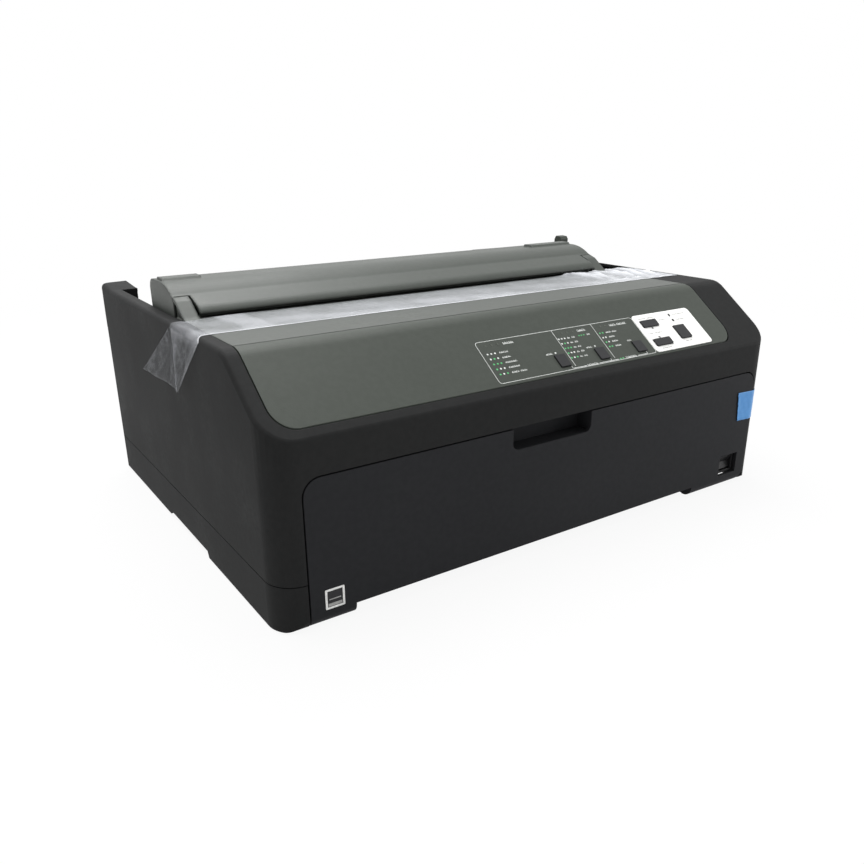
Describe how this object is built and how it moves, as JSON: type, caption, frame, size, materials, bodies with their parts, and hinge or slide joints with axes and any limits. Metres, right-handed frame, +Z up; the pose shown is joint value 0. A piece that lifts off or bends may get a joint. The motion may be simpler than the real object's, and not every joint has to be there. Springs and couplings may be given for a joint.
{
  "type": "dot matrix printer",
  "caption": "Desktop impact printer with sloped key panel, lift-up cover with raised hood, drop-down front cover, rear sheet guide, platen, carriage and pin tractors.",
  "frame": {"origin": "centre of the footprint, on the desk surface", "axes": "+X to the printer's right seen from the front, +Y from front to rear, +Z up"},
  "size_m": [0.438, 0.34, 0.1839],
  "materials": {
    "case": "fine spark-eroded charcoal moulding",
    "panel": "satin grey-green panel moulding",
    "pale": "printed pale plate",
    "key": "satin keys",
    "rubber": "soft rubber",
    "steel": "zinc plated sheet and turned steel",
    "gear": "natural acetal",
    "brass": "turned brass",
    "motor": "black motor can",
    "head": "die-cast head with fins",
    "board": "solder mask",
    "port": "port bodies",
    "lamp": "light pipes",
    "belt": "toothed belt"
  },
  "bodies": {
    "housing": {"lower_case": "case", "upper_case": "case", "rubber_feet": "rubber", "case_screws": "steel", "base_pan": "steel", "left_side_plate": "steel", "right_side_plate": "steel", "front_rail": "steel", "control_panel": "panel", "key_plate": "pale", "panel_board": "board", "lamps": "lamp", "switch_body": "port", "platen_bushes": "gear", "feed_motor": "motor", "tractor_rod": "steel", "carriage_shaft": "steel", "carriage_motor": "motor", "timing_belt": "belt", "paper_pan": "case", "lever_bracket": "steel", "main_board": "board", "power_supply": "steel", "rear_ports": "port", "mains_inlet": "port", "slot_cover": "case"},
    "cover": {"printer_cover": "case", "hood": "case"},
    "guide": {"sheet_guide": "case"},
    "guide_left": {"left_edge_guide": "case"},
    "guide_right": {"right_edge_guide": "case"},
    "door": {"front_cover": "case"},
    "rocker": {"power_rocker": "key"},
    "key_a_body": {"key_a": "key"},
    "key_b_body": {"key_b": "key"},
    "key_c_body": {"key_c": "key"},
    "key_d_body": {"key_d": "key"},
    "key_e_body": {"key_e": "key"},
    "key_f_body": {"key_f": "key"},
    "platen": {"platen_shaft": "steel", "platen_roller": "rubber", "platen_knob": "case", "platen_gear": "gear"},
    "reduction": {"reduction_gear": "gear"},
    "pinion": {"feed_pinion": "brass"},
    "tractor_drive": {"tractor_shaft": "steel"},
    "tractor_l": {"left_tractor": "key"},
    "wheel_l": {"left_pin_wheel": "gear"},
    "flap_l": {"left_flap": "key"},
    "tractor_r": {"right_tractor": "key"},
    "wheel_r": {"right_pin_wheel": "gear"},
    "flap_r": {"right_flap": "key"},
    "carriage_unit": {"carriage": "key", "print_head": "head", "ribbon_cartridge": "port"},
    "ribbon_knob_body": {"ribbon_knob": "gear"},
    "drive": {"drive_pulley": "brass"},
    "idler": {"idler_pulley": "gear"},
    "thickness": {"thickness_lever": "steel"},
    "release": {"release_lever": "case"}
  },
  "joints": [
    {"name": "cover_hinge", "type": "hinge", "parent": "housing", "child": "cover", "pos_m": [0, 0.057, 0.152], "axis": [-1, 0, 0], "range_deg": [0, 70]},
    {"name": "sheet_guide_hinge", "type": "hinge", "parent": "housing", "child": "guide", "pos_m": [0, 0.152, 0.14], "axis": [-1, 0, 0], "range_deg": [0, 100]},
    {"name": "left_edge_slide", "type": "slide", "parent": "guide", "child": "guide_left", "axis": [1, 0, 0], "range_m": [-0.007, 0.06]},
    {"name": "right_edge_slide", "type": "slide", "parent": "guide", "child": "guide_right", "axis": [1, 0, 0], "range_m": [-0.06, 0.0008]},
    {"name": "front_cover_hinge", "type": "hinge", "parent": "housing", "child": "door", "pos_m": [0, -0.161, 0.022], "axis": [1, 0, 0], "range_deg": [0, 75]},
    {"name": "power_rocker_hinge", "type": "hinge", "parent": "housing", "child": "rocker", "pos_m": [0.1828, -0.1604, 0.0202], "axis": [-1, 0, 0], "range_deg": [0, 14]},
    {"name": "key_a_press", "type": "slide", "parent": "housing", "child": "key_a_body", "axis": [0, 0.5926, -0.8055], "range_m": [0, 0.0008], "stiffness_N_per_m": 450, "springref_m": -0.0006},
    {"name": "key_b_press", "type": "slide", "parent": "housing", "child": "key_b_body", "axis": [0, 0.5926, -0.8055], "range_m": [0, 0.0008], "stiffness_N_per_m": 450, "springref_m": -0.0006},
    {"name": "key_c_press", "type": "slide", "parent": "housing", "child": "key_c_body", "axis": [0, 0.5926, -0.8055], "range_m": [0, 0.0008], "stiffness_N_per_m": 450, "springref_m": -0.0006},
    {"name": "key_d_press", "type": "slide", "parent": "housing", "child": "key_d_body", "axis": [0, 0.5926, -0.8055], "range_m": [0, 0.0008], "stiffness_N_per_m": 450, "springref_m": -0.0006},
    {"name": "key_e_press", "type": "slide", "parent": "housing", "child": "key_e_body", "axis": [0, 0.5926, -0.8055], "range_m": [0, 0.0008], "stiffness_N_per_m": 450, "springref_m": -0.0006},
    {"name": "key_f_press", "type": "slide", "parent": "housing", "child": "key_f_body", "axis": [0, 0.5926, -0.8055], "range_m": [0, 0.0008], "stiffness_N_per_m": 450, "springref_m": -0.0006},
    {"name": "platen_spin", "type": "hinge", "parent": "housing", "child": "platen", "pos_m": [0, 0.016, 0.126], "axis": [1, 0, 0], "continuous": true},
    {"name": "reduction_spin", "type": "hinge", "parent": "housing", "child": "reduction", "pos_m": [0, 0.04205, 0.10415], "axis": [1, 0, 0], "continuous": true},
    {"name": "pinion_spin", "type": "hinge", "parent": "housing", "child": "pinion", "pos_m": [0, 0.04778, 0.07165], "axis": [1, 0, 0], "continuous": true},
    {"name": "tractor_spin", "type": "hinge", "parent": "housing", "child": "tractor_drive", "pos_m": [0, 0.07553, 0.09824], "axis": [1, 0, 0], "continuous": true},
    {"name": "left_tractor_slide", "type": "slide", "parent": "housing", "child": "tractor_l", "axis": [1, 0, 0], "range_m": [-0.04, 0.08]},
    {"name": "left_wheel_spin", "type": "hinge", "parent": "tractor_l", "child": "wheel_l", "pos_m": [-0.12, 0.07553, 0.09824], "axis": [1, 0, 0], "continuous": true},
    {"name": "left_flap_hinge", "type": "hinge", "parent": "tractor_l", "child": "flap_l", "pos_m": [-0.12, 0.10103, 0.10924], "axis": [-1, 0, 0], "range_deg": [0, 80]},
    {"name": "right_tractor_slide", "type": "slide", "parent": "housing", "child": "tractor_r", "axis": [1, 0, 0], "range_m": [-0.09, 0.022]},
    {"name": "right_wheel_spin", "type": "hinge", "parent": "tractor_r", "child": "wheel_r", "pos_m": [0.08, 0.07553, 0.09824], "axis": [1, 0, 0], "continuous": true},
    {"name": "right_flap_hinge", "type": "hinge", "parent": "tractor_r", "child": "flap_r", "pos_m": [0.08, 0.10103, 0.10924], "axis": [-1, 0, 0], "range_deg": [0, 80]},
    {"name": "carriage_slide", "type": "slide", "parent": "housing", "child": "carriage_unit", "axis": [1, 0, 0], "range_m": [-0.113, 0.12]},
    {"name": "ribbon_knob_spin", "type": "hinge", "parent": "carriage_unit", "child": "ribbon_knob_body", "pos_m": [0.0215, -0.05, 0.151], "axis": [0, 0, 1], "continuous": true},
    {"name": "drive_pulley_spin", "type": "hinge", "parent": "housing", "child": "drive", "pos_m": [-0.154, -0.064, 0.076], "axis": [0, 0, 1], "continuous": true},
    {"name": "idler_pulley_spin", "type": "hinge", "parent": "housing", "child": "idler", "pos_m": [0.128, -0.064, 0.076], "axis": [0, 0, 1], "continuous": true},
    {"name": "thickness_lever_hinge", "type": "hinge", "parent": "housing", "child": "thickness", "pos_m": [-0.1853, -0.038, 0.096], "axis": [-1, 0, 0], "range_deg": [0, 12]},
    {"name": "release_lever_hinge", "type": "hinge", "parent": "housing", "child": "release", "pos_m": [0.2078, 0.073, 0.112], "axis": [1, 0, 0], "range_deg": [0, 14]}
  ],
  "couplings": [
    {"joint": "reduction_spin", "follows": "platen_spin", "ratio": -2.4},
    {"joint": "pinion_spin", "follows": "platen_spin", "ratio": 8.9143},
    {"joint": "tractor_spin", "follows": "platen_spin", "ratio": 1},
    {"joint": "left_wheel_spin", "follows": "platen_spin", "ratio": 1},
    {"joint": "right_wheel_spin", "follows": "platen_spin", "ratio": 1},
    {"joint": "drive_pulley_spin", "follows": "carriage_slide", "rad_per_m": -111.11},
    {"joint": "idler_pulley_spin", "follows": "carriage_slide", "rad_per_m": -111.11}
  ]
}
